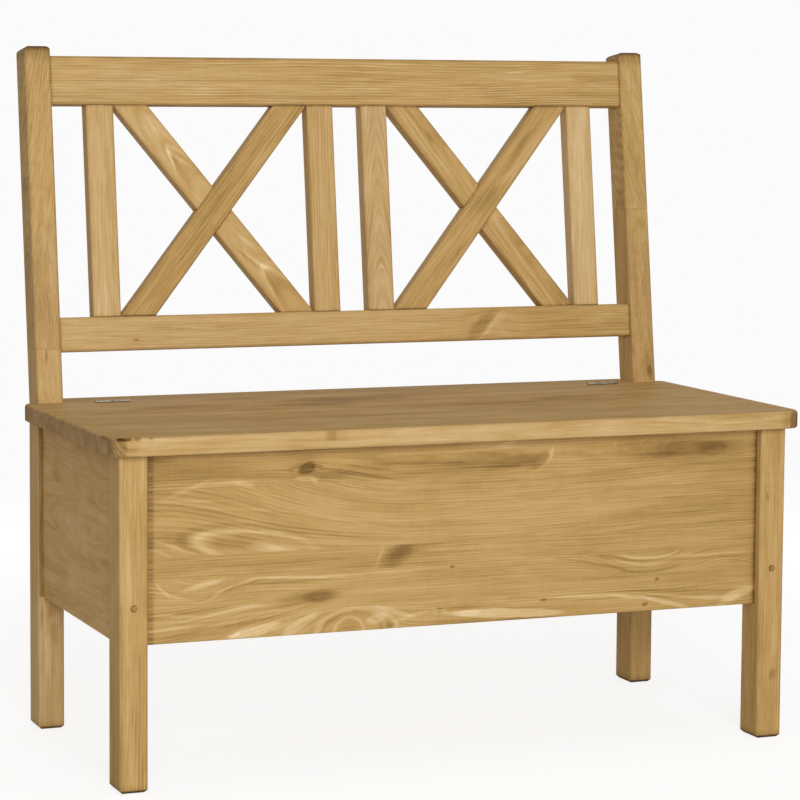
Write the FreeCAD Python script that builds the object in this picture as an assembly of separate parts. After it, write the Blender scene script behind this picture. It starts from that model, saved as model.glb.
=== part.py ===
import FreeCAD, Part
import math
import os

# A pine storage bench. Its seat board is a lid, hinged to a fixed rail at the back of the box, and its
# raked back holds two crossed panels. All lengths are in millimetres. X runs to the right of someone
# who looks at the front, Y to the back and Z up. Sizes are worked out with Y = 0 at the front face of
# the front legs; the finished pieces are then centred on the origin.

V = FreeCAD.Vector

# Overall sizes
frame_width = 959.0
frame_depth = 446.5
seat_height = 460.0
back_length = 500.0
back_rake_degrees = 7.55

# Legs and posts
front_leg_width = 38.0
rear_post_width = 37.0
leg_depth = 50.0
leg_edge_radius = 4.0
post_top_radius = 8.0
foot_chamfer = 4.5

# Seat board and hinge rail
seat_thickness = 24.0
seat_front_overhang = 19.8
seat_side_overhang = 18.0
seat_corner_radius = 28.0
seat_top_radius = 5.0
seat_bottom_chamfer = 1.5
seam_ahead_of_posts = 12.5
seam_gap = 0.8
lid_clearance = 0.3
hinge_rail_back_overhang = 9.0
ear_behind_post_front = 13.0
ear_corner_radius = 12.0

# Box walls
panel_thickness = 18.0
panel_bottom_height = 188.3
front_panel_recess = 13.7
side_panel_recess = 5.9
back_panel_recess = 6.0
panel_edge_radius = 2.0
tongue_length = 8.0
tongue_thickness = 8.0
tongue_stop = 10.0
panel_tenon_length = 28.0
panel_tenon_height = 50.0
panel_tenon_rise = 26.0

# Pegs through the tenons of the front panel
peg_diameter = 9.0
peg_length = 34.0
peg_proud = 0.4
peg_dome_height = 0.6

# Floor of the box and the cleats that carry it
floor_thickness = 12.0
floor_clearance = 0.3
cleat_size = 20.0
cleat_rise = 4.0

# Battens under the seat board
batten_width = 40.0
batten_thickness = 18.0
batten_spacing = 600.0
batten_front_gap = 18.5
batten_back_gap = 62.3
batten_chamfer = 4.0

# Rails of the back
top_rail_height = 68.5
top_rail_below_post_top = 13.5
lower_rail_height = 48.2
lower_rail_above_seat = 70.9
rail_thickness = 30.0
rail_recess = 5.0
rail_edge_radius = 4.0
rail_tenon_length = 22.0
rail_tenon_thickness = 12.0
rail_tenon_shoulder = 10.0

# Slats and crosses of the back
slat_width = 40.0
slat_thickness = 25.0
slat_recess = 6.0
slat_edge_radius = 3.0
outer_slat_gap = 50.0
middle_slat_gap = 44.0
cross_width = 40.0
cross_thickness = 25.0
front_cross_recess = 5.5
rear_cross_recess = 9.5
cross_edge_radius = 3.0
stub_length = 10.0
stub_thickness = 10.0
slat_stub_shoulder = 6.0
cross_stub_width = 22.0

# Butt hinges, let into the two edges that meet at the seam, with only the knuckles above the seat
hinge_length = 50.0
hinge_leaf_reach = 20.0
hinge_leaf_thickness = 1.5
hinge_pin_rise = 1.0
knuckle_radius = 2.5
knuckle_count = 3
knuckle_gap = 0.3
knuckle_leaf_gap = 0.4
pin_radius = 1.0
pin_running_clearance = 0.05
pin_end_length = 0.3
hinge_recess_clearance = 0.5
left_hinge_inset = 41.5
right_hinge_inset = 33.0

# Countersunk holes in the hinge leaves
leaf_hole_count = 2
leaf_hole_end_inset = 11.0
leaf_hole_below_pin = 11.0
leaf_hole_radius = 1.75
countersink_radius = 3.5

# One overrun for every cutting tool, and what counts as level or parallel
overrun = 5.0
level_tolerance = 0.005
parallel_share = 0.999

# Places that follow from the sizes
half_frame = frame_width / 2
rear_post_front = frame_depth - leg_depth
post_inner_x = half_frame - rear_post_width
leg_inner_x = half_frame - front_leg_width
seat_underside = seat_height - seat_thickness
wall_top = seat_underside - lid_clearance
seat_front = -seat_front_overhang
seat_half_width = half_frame + seat_side_overhang
seam_y = rear_post_front - seam_ahead_of_posts
hinge_rail_back = frame_depth + hinge_rail_back_overhang
rake = math.radians(back_rake_degrees)
front_panel_back = front_panel_recess + panel_thickness
side_panel_outer_x = half_frame - side_panel_recess
side_panel_inner_x = side_panel_outer_x - panel_thickness
back_panel_back = frame_depth - back_panel_recess
back_panel_front = back_panel_back - panel_thickness
batten_front = front_panel_back + batten_front_gap
batten_back = back_panel_front - batten_back_gap
batten_bottom = seat_underside - batten_thickness
cleat_bottom = panel_bottom_height + cleat_rise
cleat_top = cleat_bottom + cleat_size
floor_top = cleat_top + floor_thickness
top_rail_top = back_length - top_rail_below_post_top
top_rail_bottom = top_rail_top - top_rail_height
lower_rail_bottom = lower_rail_above_seat
lower_rail_top = lower_rail_bottom + lower_rail_height
hinge_axis_z = seat_height + hinge_pin_rise
hinge_leaf_bottom = hinge_axis_z - hinge_leaf_reach
knuckle_reach = knuckle_radius + knuckle_leaf_gap
hinge_leaf_top = hinge_axis_z - knuckle_reach
hinge_leaf_inner = seam_gap / 2
hinge_leaf_outer = hinge_leaf_inner + hinge_leaf_thickness
left_hinge_x = -post_inner_x + left_hinge_inset + hinge_length / 2
right_hinge_x = post_inner_x - right_hinge_inset - hinge_length / 2
post_top_back = (rear_post_front + post_top_radius + (back_length - post_top_radius) * math.sin(rake)
                 + (leg_depth - post_top_radius) * math.cos(rake))
centre_y = (seat_front + post_top_back) / 2

made = {}


def keep(name, shape):
    """Store a finished piece, centred front to back on the origin."""
    made[name] = shape.translated(V(0, -centre_y, 0))


def box(x0, x1, y0, y1, z0, z1):
    return Part.makeBox(x1 - x0, y1 - y0, z1 - z0, V(x0, y0, z0))


def mirrored(shape):
    """The same piece on the other side of the bench."""
    return shape.mirror(V(0, 0, 0), V(1, 0, 0))


def prism(points, travel):
    """A solid swept in a straight line from a flat outline."""
    outline = Part.makePolygon(points + [points[0]])
    return Part.Face(outline).extrude(travel)


def edges_longer_than(shape, length, direction=None):
    """Straight edges above a length, along a direction if one is given."""
    found = []
    for edge in shape.Edges:
        if edge.Length <= length or len(edge.Vertexes) < 2:
            continue
        run = edge.Vertexes[1].Point - edge.Vertexes[0].Point
        if direction is None or abs(run.dot(direction)) > parallel_share * run.Length:
            found.append(edge)
    return found


def eased(shape, radius, longer_than, direction=None):
    return shape.makeFillet(radius, edges_longer_than(shape, longer_than, direction))


def leaned(shape):
    """Turn a piece of the upright back to the rake and set it on the bend of the posts."""
    turn = FreeCAD.Rotation(V(1, 0, 0), -back_rake_degrees)
    moved = shape.copy()
    moved.Placement = FreeCAD.Placement(V(0, rear_post_front, seat_height), turn)
    return moved


def chamfered_plan(x0, x1, y0, y1, top):
    """A block whose foot is chamfered on all four sides, to trim a leg to."""
    c = foot_chamfer
    across = prism([V(x0 + c, y0, 0), V(x1 - c, y0, 0), V(x1, y0, c), V(x1, y0, top),
                    V(x0, y0, top), V(x0, y0, c)], V(0, y1 - y0, 0))
    along = prism([V(x0, y0 + c, 0), V(x0, y1 - c, 0), V(x0, y1, c), V(x0, y1, top),
                   V(x0, y0, top), V(x0, y0, c)], V(x1 - x0, 0, 0))
    return across.common(along)


def front_panel_tenon(side):
    """The tongue and the deeper pegged tenon at one end of the front panel; side is 1 or -1."""
    middle = front_panel_recess + panel_thickness / 2
    y0 = middle - tongue_thickness / 2
    y1 = middle + tongue_thickness / 2
    inner = side * (leg_inner_x - overrun)
    tongue_x = side * (leg_inner_x + tongue_length)
    tenon_x = side * (leg_inner_x + panel_tenon_length)
    tongue = box(min(inner, tongue_x), max(inner, tongue_x), y0, y1,
                 panel_bottom_height + tongue_stop, wall_top)
    tenon_z = panel_bottom_height + panel_tenon_rise
    tenon = box(min(inner, tenon_x), max(inner, tenon_x), y0, y1, tenon_z, tenon_z + panel_tenon_height)
    return tongue.fuse(tenon)


def peg_place(side):
    """Where the axis of a peg meets the front face of its leg."""
    x = side * (half_frame - front_leg_width / 2)
    return V(x, 0, panel_bottom_height + panel_tenon_rise + panel_tenon_height / 2)


def peg_hole(side):
    start = peg_place(side) - V(0, overrun, 0)
    return Part.makeCylinder(peg_diameter / 2, peg_length + overrun, start, V(0, 1, 0))


def side_panel_tongue(side, y0, y1):
    middle = side * (side_panel_outer_x - panel_thickness / 2)
    return box(middle - tongue_thickness / 2, middle + tongue_thickness / 2, y0, y1,
               panel_bottom_height + tongue_stop, wall_top)


def back_panel_tongue(side):
    middle = back_panel_back - panel_thickness / 2
    inner = side * (post_inner_x - overrun)
    outer = side * (post_inner_x + tongue_length)
    return box(min(inner, outer), max(inner, outer), middle - tongue_thickness / 2,
               middle + tongue_thickness / 2, panel_bottom_height + tongue_stop, seat_underside)


def make_front_legs():
    for side, name in ((-1, "front_leg_left"), (1, "front_leg_right")):
        x0 = min(side * half_frame, side * leg_inner_x)
        x1 = max(side * half_frame, side * leg_inner_x)
        leg = box(x0, x1, 0, leg_depth, 0, wall_top)
        leg = eased(leg, leg_edge_radius, leg_depth * 2, V(0, 0, 1))
        leg = leg.common(chamfered_plan(x0, x1, 0, leg_depth, wall_top))
        leg = leg.cut(front_panel_tenon(side))
        leg = leg.cut(side_panel_tongue(side, leg_depth - tongue_length, leg_depth + overrun))
        leg = leg.cut(peg_hole(side))
        keep(name, leg)


def rail_tenon(bottom, top, side):
    middle = rail_recess + rail_thickness / 2
    inner = side * (post_inner_x - overrun)
    outer = side * (post_inner_x + rail_tenon_length)
    return box(min(inner, outer), max(inner, outer), middle - rail_tenon_thickness / 2,
               middle + rail_tenon_thickness / 2, bottom + rail_tenon_shoulder, top - rail_tenon_shoulder)


def post_top_trim(x0, x1):
    """A raked block with its top rounded over on all four sides, to trim a post to."""
    r = post_top_radius
    turn = r * math.sqrt(0.5)
    low = -seat_height - leg_depth
    high = back_length

    def rounded(a0, a1, place):
        corner_low = Part.Arc(place(a0, high - r), place(a0 + r - turn, high - r + turn),
                              place(a0 + r, high))
        corner_high = Part.Arc(place(a1 - r, high), place(a1 - r + turn, high - r + turn),
                               place(a1, high - r))
        sides = [Part.LineSegment(place(a0, low), place(a0, high - r)), corner_low,
                 Part.LineSegment(place(a0 + r, high), place(a1 - r, high)), corner_high,
                 Part.LineSegment(place(a1, high - r), place(a1, low)),
                 Part.LineSegment(place(a1, low), place(a0, low))]
        return Part.Face(Part.Wire([side.toShape() for side in sides]))

    reach = leg_depth + seat_height
    across = rounded(x0, x1, lambda a, v: V(a, -reach, v)).extrude(V(0, 2 * reach, 0))
    along = rounded(0, leg_depth, lambda a, v: V(x0, a, v)).extrude(V(x1 - x0, 0, 0))
    slab = box(x0, x1, -reach, reach, low, 0)
    return leaned(across.common(along.fuse(slab)))


def make_rear_posts():
    tilt_y = math.sin(rake)
    tilt_z = math.cos(rake)
    bend_drop = leg_depth * math.tan(rake / 2)
    top_front = V(0, rear_post_front + back_length * tilt_y, seat_height + back_length * tilt_z)
    top_back = top_front + V(0, leg_depth * tilt_z, -leg_depth * tilt_y)
    for side, name in ((-1, "rear_post_left"), (1, "rear_post_right")):
        x0 = min(side * half_frame, side * post_inner_x)
        x1 = max(side * half_frame, side * post_inner_x)
        outline = [V(0, rear_post_front, 0), V(0, rear_post_front, seat_height), top_front, top_back,
                   V(0, frame_depth, seat_height - bend_drop), V(0, frame_depth, 0)]
        post = prism([point + V(x0, 0, 0) for point in outline], V(x1 - x0, 0, 0))
        post = eased(post, leg_edge_radius, leg_depth * 2)
        post = post.common(post_top_trim(x0, x1))
        foot = chamfered_plan(x0, x1, rear_post_front, frame_depth, seat_underside)
        above = box(x0, x1, rear_post_front, post_top_back, seat_underside, seat_height + back_length)
        post = post.common(foot.fuse(above))
        for bottom, top in ((lower_rail_bottom, lower_rail_top), (top_rail_bottom, top_rail_top)):
            post = post.cut(leaned(rail_tenon(bottom, top, side)))
        post = post.cut(side_panel_tongue(side, rear_post_front - overrun, rear_post_front + tongue_length))
        post = post.cut(back_panel_tongue(side))
        keep(name, post)


def slat_spans():
    """Left and right edge of each slat, from the left."""
    outer = post_inner_x - outer_slat_gap
    inner = middle_slat_gap / 2
    right = [(inner, inner + slat_width), (outer - slat_width, outer)]
    left = [(-high, -low) for low, high in reversed(right)]
    return left + right


def slat_stubs(x0, x1):
    middle = slat_recess + slat_thickness / 2
    y0 = middle - stub_thickness / 2
    y1 = middle + stub_thickness / 2
    lower = box(x0 + slat_stub_shoulder, x1 - slat_stub_shoulder, y0, y1,
                lower_rail_top - stub_length, lower_rail_top + overrun)
    upper = box(x0 + slat_stub_shoulder, x1 - slat_stub_shoulder, y0, y1,
                top_rail_bottom - overrun, top_rail_bottom + stub_length)
    return lower.fuse(upper)


def cross_outline(x0, x1, rising):
    """Corners of a diagonal that fills a panel from corner to corner between the rails."""
    wide = x1 - x0
    high = top_rail_bottom - lower_rail_top
    lean = math.acos(cross_width / math.hypot(wide, high)) - math.atan2(high, wide)
    run = cross_width / math.cos(lean)
    corners = [(x0, lower_rail_top), (x0 + run, lower_rail_top),
               (x1, top_rail_bottom), (x1 - run, top_rail_bottom)]
    if rising:
        return corners
    return [(x0 + x1 - x, z) for x, z in corners]


def cross_block(x0, x1, rising, y0, y1):
    corners = cross_outline(x0, x1, rising)
    return prism([V(x, y0, z) for x, z in corners], V(0, y1 - y0, 0))


def cross_stubs(x0, x1, rising, recess):
    corners = cross_outline(x0, x1, rising)
    low_x = (corners[0][0] + corners[1][0]) / 2
    high_x = (corners[2][0] + corners[3][0]) / 2
    y0 = recess + (cross_thickness - stub_thickness) / 2
    y1 = y0 + stub_thickness
    lower = box(low_x - cross_stub_width / 2, low_x + cross_stub_width / 2, y0, y1,
                lower_rail_top - stub_length, lower_rail_top + overrun)
    upper = box(high_x - cross_stub_width / 2, high_x + cross_stub_width / 2, y0, y1,
                top_rail_bottom - overrun, top_rail_bottom + stub_length)
    return lower.fuse(upper)


def panels_of_back():
    """The two wide gaps between slats that hold the crosses."""
    spans = slat_spans()
    return (("left", spans[0][1], spans[1][0]), ("right", spans[2][1], spans[3][0]))


def make_back():
    stubs = [slat_stubs(x0, x1) for x0, x1 in slat_spans()]
    for panel, x0, x1 in panels_of_back():
        stubs.append(cross_stubs(x0, x1, True, front_cross_recess))
        stubs.append(cross_stubs(x0, x1, False, rear_cross_recess))

    for name, bottom, top in (("lower_back_rail", lower_rail_bottom, lower_rail_top),
                              ("top_rail", top_rail_bottom, top_rail_top)):
        rail = box(-post_inner_x, post_inner_x, rail_recess, rail_recess + rail_thickness, bottom, top)
        rail = eased(rail, rail_edge_radius, post_inner_x, V(1, 0, 0))
        rail = rail.fuse([rail_tenon(bottom, top, -1), rail_tenon(bottom, top, 1)])
        for stub in stubs:
            rail = rail.cut(stub)
        keep(name, leaned(rail))

    for number, (x0, x1) in enumerate(slat_spans(), start=1):
        slat = box(x0, x1, slat_recess, slat_recess + slat_thickness, lower_rail_top, top_rail_bottom)
        slat = eased(slat, slat_edge_radius, slat_width * 2, V(0, 0, 1))
        keep("back_slat_%d" % number, leaned(slat.fuse(slat_stubs(x0, x1))))

    lap = (rear_cross_recess + front_cross_recess + cross_thickness) / 2
    rear_back = rear_cross_recess + cross_thickness
    for panel, x0, x1 in panels_of_back():
        front = cross_block(x0, x1, True, front_cross_recess, front_cross_recess + cross_thickness)
        front = eased(front, cross_edge_radius, cross_width * 2)
        front = front.cut(cross_block(x0, x1, False, lap, rear_back + overrun))
        front = front.fuse(cross_stubs(x0, x1, True, front_cross_recess))
        keep("cross_%s_front" % panel, leaned(front))
        rear = cross_block(x0, x1, False, rear_cross_recess, rear_back)
        rear = eased(rear, cross_edge_radius, cross_width * 2)
        rear = rear.cut(cross_block(x0, x1, True, -overrun, lap))
        rear = rear.fuse(cross_stubs(x0, x1, False, rear_cross_recess))
        keep("cross_%s_rear" % panel, leaned(rear))


def make_box_walls():
    front = box(-leg_inner_x, leg_inner_x, front_panel_recess, front_panel_back,
                panel_bottom_height, wall_top)
    front = eased(front, panel_edge_radius, leg_inner_x, V(1, 0, 0))
    front = front.fuse([front_panel_tenon(-1), front_panel_tenon(1)])
    keep("front_panel", front.cut([peg_hole(-1), peg_hole(1)]))

    side_panel = box(-side_panel_outer_x, -side_panel_inner_x, leg_depth, rear_post_front,
                     panel_bottom_height, wall_top)
    side_panel = eased(side_panel, panel_edge_radius, rear_post_front / 2, V(0, 1, 0))
    ends = [side_panel_tongue(-1, leg_depth - tongue_length, leg_depth + overrun),
            side_panel_tongue(-1, rear_post_front - overrun, rear_post_front + tongue_length)]
    side_panel = side_panel.fuse(ends)
    keep("side_panel_left", side_panel)
    keep("side_panel_right", mirrored(side_panel))

    back = box(-post_inner_x, post_inner_x, back_panel_front, back_panel_back,
               panel_bottom_height, seat_underside)
    back = eased(back, panel_edge_radius, post_inner_x, V(1, 0, 0))
    keep("back_panel", back.fuse([back_panel_tongue(-1), back_panel_tongue(1)]))


def make_floor():
    gap = floor_clearance
    board = box(-side_panel_inner_x + gap, side_panel_inner_x - gap, front_panel_back + gap,
                back_panel_front - gap, cleat_top, floor_top)
    for side in (-1, 1):
        for inner, y0, y1 in ((leg_inner_x, 0, leg_depth + gap),
                              (post_inner_x, rear_post_front - gap, frame_depth)):
            near = side * (inner - gap)
            far = side * half_frame
            board = board.cut(box(min(near, far), max(near, far), y0, y1, cleat_bottom, seat_height))
    keep("box_floor", board)

    front = box(-leg_inner_x, leg_inner_x, front_panel_back, front_panel_back + cleat_size,
                cleat_bottom, cleat_top)
    keep("floor_cleat_front", front)
    rear = box(-post_inner_x, post_inner_x, back_panel_front - cleat_size, back_panel_front,
               cleat_bottom, cleat_top)
    keep("floor_cleat_rear", rear)
    left = box(-side_panel_inner_x, -side_panel_inner_x + cleat_size, front_panel_back + cleat_size,
               rear_post_front, cleat_bottom, cleat_top)
    keep("floor_cleat_left", left)
    keep("floor_cleat_right", mirrored(left))


def make_pegs():
    pegs = []
    for side in (-1, 1):
        face = peg_place(side) - V(0, peg_proud, 0)
        back = V(0, 1, 0)
        body = Part.makeCylinder(peg_diameter / 2, peg_length + peg_proud, face, back)
        dome = Part.makeCone(peg_diameter / 2 - peg_dome_height, peg_diameter / 2, peg_dome_height,
                             face - back * peg_dome_height, back)
        pegs.append(body.fuse(dome))
    keep("leg_pegs", Part.makeCompound(pegs))


def arc_corner(centre, radius, start_degrees):
    """A quarter of a circle in plan, turning to the left from its start."""
    points = []
    for degrees in (0, 45, 90):
        angle = math.radians(start_degrees + degrees)
        points.append(centre + V(radius * math.cos(angle), radius * math.sin(angle), 0))
    return Part.Arc(*points)


def plan_board(pieces, thickness):
    """A board from a closed plan outline of lines and arcs."""
    face = Part.Face(Part.Wire([piece.toShape() for piece in pieces]))
    return face.extrude(V(0, 0, thickness))


def edges_at(shape, z, keep_edge):
    """Edges that lie flat at a height and that a test on their middle accepts."""
    found = []
    for edge in shape.Edges:
        bounds = edge.BoundBox
        if bounds.ZLength > level_tolerance or abs(bounds.ZMin - z) > level_tolerance:
            continue
        if keep_edge(edge.valueAt((edge.FirstParameter + edge.LastParameter) / 2)):
            found.append(edge)
    return found


def hinge_centres():
    return (("hinge_left", left_hinge_x), ("hinge_right", right_hinge_x))


def hinge_block(centre_x, side, spread, inner, outer, bottom, top):
    """A block along a hinge, from an inner to an outer reach off the seam; side is -1 for the lid."""
    near = seam_y + side * inner
    far = seam_y + side * outer
    half = hinge_length / 2 + spread
    return box(centre_x - half, centre_x + half, min(near, far), max(near, far), bottom, top)


def hinge_recesses(side):
    """What is cut from a board's edge for its two leaves and for the knuckles above them."""
    cuts = []
    for name, centre_x in hinge_centres():
        cuts.append(hinge_block(centre_x, side, hinge_recess_clearance, 0, hinge_leaf_outer,
                                hinge_leaf_bottom - hinge_recess_clearance, seat_height + overrun))
        cuts.append(hinge_block(centre_x, side, hinge_recess_clearance, 0, knuckle_reach,
                                hinge_leaf_top, seat_height + overrun))
    return cuts


def leaf_holes(centre_x, side):
    """The countersunk screw holes of one leaf, wide at its face towards the seam."""
    reach = hinge_length / 2 - leaf_hole_end_inset
    holes = []
    for index in range(leaf_hole_count):
        share = index / (leaf_hole_count - 1)
        face = V(centre_x + (2 * share - 1) * reach, seam_y + side * hinge_leaf_inner,
                 hinge_axis_z - leaf_hole_below_pin)
        holes.append(Part.makeCone(countersink_radius, leaf_hole_radius, hinge_leaf_thickness, face,
                                   V(0, side, 0)))
    return holes


def make_lid():
    w = seat_half_width
    r = seat_corner_radius
    z = seat_underside
    back = seam_y - seam_gap / 2
    outline = [Part.LineSegment(V(-w + r, seat_front, z), V(w - r, seat_front, z)),
               arc_corner(V(w - r, seat_front + r, z), r, -90),
               Part.LineSegment(V(w, seat_front + r, z), V(w, back, z)),
               Part.LineSegment(V(w, back, z), V(-w, back, z)),
               Part.LineSegment(V(-w, back, z), V(-w, seat_front + r, z)),
               arc_corner(V(-w + r, seat_front + r, z), r, 180)]
    board = plan_board(outline, seat_thickness)
    rim = edges_at(board, seat_height, lambda point: point.y < back - overrun)
    board = board.makeFillet(seat_top_radius, rim)
    rim = edges_at(board, seat_underside, lambda point: point.y < back - overrun)
    board = board.makeChamfer(seat_bottom_chamfer, rim)
    keep("lid", board.cut(hinge_recesses(-1)))

    for side, name in ((-1, "lid_batten_left"), (1, "lid_batten_right")):
        x = side * batten_spacing / 2
        batten = box(x - batten_width / 2, x + batten_width / 2, batten_front, batten_back,
                     batten_bottom, seat_underside)
        low = edges_at(batten, batten_bottom, lambda point: True)
        keep(name, batten.makeChamfer(batten_chamfer, low))


def make_hinge_rail():
    w = seat_half_width
    z = seat_underside
    r = ear_corner_radius
    front = seam_y + seam_gap / 2
    ear = rear_post_front + ear_behind_post_front
    back = hinge_rail_back
    right = [V(w, front, z), V(w, ear - r, z), V(w - r, ear, z), V(half_frame, ear, z),
             V(half_frame, rear_post_front, z), V(post_inner_x, rear_post_front, z),
             V(post_inner_x, back, z)]
    left = [V(-point.x, point.y, z) for point in reversed(right)]
    outline = [Part.LineSegment(left[-1], right[0]), Part.LineSegment(right[0], right[1]),
               arc_corner(V(w - r, ear - r, z), r, 0)]
    walk = right[2:] + left[:5]
    for start, end in zip(walk, walk[1:]):
        outline.append(Part.LineSegment(start, end))
    outline.append(arc_corner(V(-w + r, ear - r, z), r, 90))
    outline.append(Part.LineSegment(left[5], left[6]))
    board = plan_board(outline, seat_thickness)

    def outside(point):
        beyond_post = abs(point.x) > half_frame and point.y > front
        return beyond_post or point.y > back - overrun
    rim = edges_at(board, seat_height, outside)
    board = board.makeFillet(seat_top_radius, rim)
    rim = edges_at(board, seat_underside, outside)
    board = board.makeChamfer(seat_bottom_chamfer, rim)
    keep("hinge_rail", board.cut(hinge_recesses(1)))


def knuckle_spans(centre_x, own):
    """Left and right end of each knuckle of one leaf: own is 0 for the fixed leaf, 1 for the moving."""
    pitch = hinge_length / knuckle_count
    start = centre_x - hinge_length / 2
    spans = []
    for index in range(knuckle_count):
        if index % 2 == own:
            spans.append((start + index * pitch, start + (index + 1) * pitch))
    return spans


def hinge_leaf(centre_x, own):
    """A leaf with its rolled knuckles. The fixed leaf lies behind the seam, the moving one before it."""
    side = 1 if own == 0 else -1
    x0 = centre_x - hinge_length / 2
    x1 = centre_x + hinge_length / 2
    leaf = hinge_block(centre_x, side, 0, hinge_leaf_inner, hinge_leaf_outer, hinge_leaf_bottom,
                       hinge_leaf_top)
    near = seam_y + side * hinge_leaf_inner
    far = seam_y + side * hinge_leaf_outer
    bore = pin_radius if own == 0 else pin_radius + pin_running_clearance
    for start, end in knuckle_spans(centre_x, own):
        k0 = start + (0 if start == x0 else knuckle_gap / 2)
        k1 = end - (0 if end == x1 else knuckle_gap / 2)
        barrel = Part.makeCylinder(knuckle_radius, k1 - k0, V(k0, seam_y, hinge_axis_z), V(1, 0, 0))
        neck = box(k0, k1, min(near, far), max(near, far), hinge_leaf_top, hinge_axis_z)
        hole = Part.makeCylinder(bore, k1 - k0, V(k0, seam_y, hinge_axis_z), V(1, 0, 0))
        leaf = leaf.fuse(barrel.fuse(neck)).cut(hole)
    return leaf.cut(leaf_holes(centre_x, side)).removeSplitter()


def make_hinges():
    for name, centre_x in hinge_centres():
        keep(name + "_fixed_leaf", hinge_leaf(centre_x, 0))
        keep(name + "_moving_leaf", hinge_leaf(centre_x, 1))
        reach = hinge_length / 2 + pin_end_length
        pin = Part.makeCylinder(pin_radius, 2 * reach, V(centre_x - reach, seam_y, hinge_axis_z), V(1, 0, 0))
        keep(name + "_pin", pin)


def main():
    os.makedirs("parts", exist_ok=True)
    make_front_legs()
    make_rear_posts()
    make_back()
    make_box_walls()
    make_floor()
    make_pegs()
    make_lid()
    make_hinge_rail()
    make_hinges()
    for name, shape in made.items():
        shape.exportStep("parts/%s.step" % name)
        box_of = shape.BoundBox
        print("%-26s solids %2d valid %s volume %.0f  y %.1f %.1f z %.1f %.1f" % (
            name, len(shape.Solids), shape.isValid(), shape.Volume,
            box_of.YMin, box_of.YMax, box_of.ZMin, box_of.ZMax))


main()
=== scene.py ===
import math

import bmesh
import bpy
from mathutils import Matrix, Vector


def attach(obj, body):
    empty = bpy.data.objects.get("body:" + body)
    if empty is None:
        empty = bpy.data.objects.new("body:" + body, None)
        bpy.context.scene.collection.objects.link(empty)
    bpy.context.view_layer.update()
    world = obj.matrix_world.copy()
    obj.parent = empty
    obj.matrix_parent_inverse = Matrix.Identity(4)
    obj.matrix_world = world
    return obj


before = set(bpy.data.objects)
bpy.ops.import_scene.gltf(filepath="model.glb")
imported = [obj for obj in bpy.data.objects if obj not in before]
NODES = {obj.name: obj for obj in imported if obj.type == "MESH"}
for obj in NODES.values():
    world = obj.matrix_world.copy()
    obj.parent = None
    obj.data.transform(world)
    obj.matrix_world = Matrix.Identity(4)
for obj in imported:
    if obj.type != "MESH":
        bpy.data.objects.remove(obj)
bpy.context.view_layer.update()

MM = 1000.0  # in a metre

# Sizes of the bench that the looks follow, in millimetres. Y counts from the front face of the front legs.
CENTRE_Y = 245.49
SEAT_HEIGHT = 460.0
SEAT_UNDERSIDE = 436.0
SEAT_MID_Y = 182.0
SEAT_MID_Z = 448.0
SEAM_Y = 384.0
HINGE_RAIL_Y = 420.0
RAKE = math.radians(7.55)
REAR_POST_FRONT = 396.5
POST_X = 461.0
POST_Y = 430.0
POST_INNER_X = 442.5
POST_HALF_WIDTH = 18.5
LEG_X = 460.5
LEG_Y = 25.0
LEG_MID_Z = 220.0
LEG_BACK = 50.0
LEG_INNER_X = 441.5
LEG_HALF_WIDTH = 19.0
PEG_Z = 239.3
PANEL_BOTTOM = 188.3
PANEL_MID_Z = 312.0
FRONT_PANEL_Y = 22.7
BACK_PANEL_Y = 431.0
SIDE_PANEL_X = 464.0
SIDE_PANEL_Y = 223.0
LOWER_RAIL_MID = 95.0
LOWER_RAIL_TOP = 119.1
TOP_RAIL_MID = 452.25
TOP_RAIL_BOTTOM = 418.0
SLAT_CENTRES = (-372.5, -42.0, 42.0, 372.5)
SLAT_WIDTH = 40.0
CROSS_WIDTH = 40.0
BATTEN_X = 300.0
BOX_FLOOR_Y = 227.0
BOX_FLOOR_Z = 218.0

UP_BACK = Vector((0.0, math.sin(RAKE), math.cos(RAKE)))
INTO_BACK = Vector((0.0, math.cos(RAKE), -math.sin(RAKE)))
X_AXIS = Vector((1.0, 0.0, 0.0))
Y_AXIS = Vector((0.0, 1.0, 0.0))
Z_AXIS = Vector((0.0, 0.0, 1.0))


def place(x, y, z):
    """A point of the bench in metres, from millimetres with Y counted from the front legs."""
    return Vector((x, y - CENTRE_Y, z)) / MM


def on_back(x, up, into):
    """A point of the raked back: up along it from its bend, into it from the front of the posts."""
    return place(x, REAR_POST_FRONT, SEAT_HEIGHT) + (UP_BACK * up + INTO_BACK * into) / MM


def srgb(red, green, blue):
    """A screen colour, 0 to 255, as the light values that a shader takes."""
    def linear(c):
        c = c / 255
        return c / 12.92 if c <= 0.04045 else ((c + 0.055) / 1.055) ** 2.4
    return (linear(red), linear(green), linear(blue), 1.0)


# Shader building: sums and products of wires make Math nodes.
class Wire:
    def __init__(self, socket):
        self.tree = socket.id_data
        self.socket = socket

    def math(self, operation, *others):
        node = new_node(self.tree, "Math", dict(enumerate((self,) + others)), operation=operation)
        return Wire(node.outputs[0])

    def __add__(self, other):
        return self.math("ADD", other)

    __radd__ = __add__

    def __mul__(self, other):
        return self.math("MULTIPLY", other)

    def __sub__(self, other):
        return self.math("SUBTRACT", other)

    def __truediv__(self, other):
        return self * (1 / other)

    def __neg__(self):
        return self * -1


def join(item, slot):
    """Link a wire or a socket into a slot, or set the slot's value."""
    item = item.socket if isinstance(item, Wire) else item
    if isinstance(item, bpy.types.NodeSocket):
        slot.id_data.links.new(item, slot)
    else:
        slot.default_value = item


def new_node(tree, kind, inputs, **settings):
    node = tree.nodes.new("ShaderNode" + kind)
    for name, setting in settings.items():
        setattr(node, name, setting)
    for slot, item in inputs.items():
        join(item, node.inputs[slot])
    return node


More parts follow.
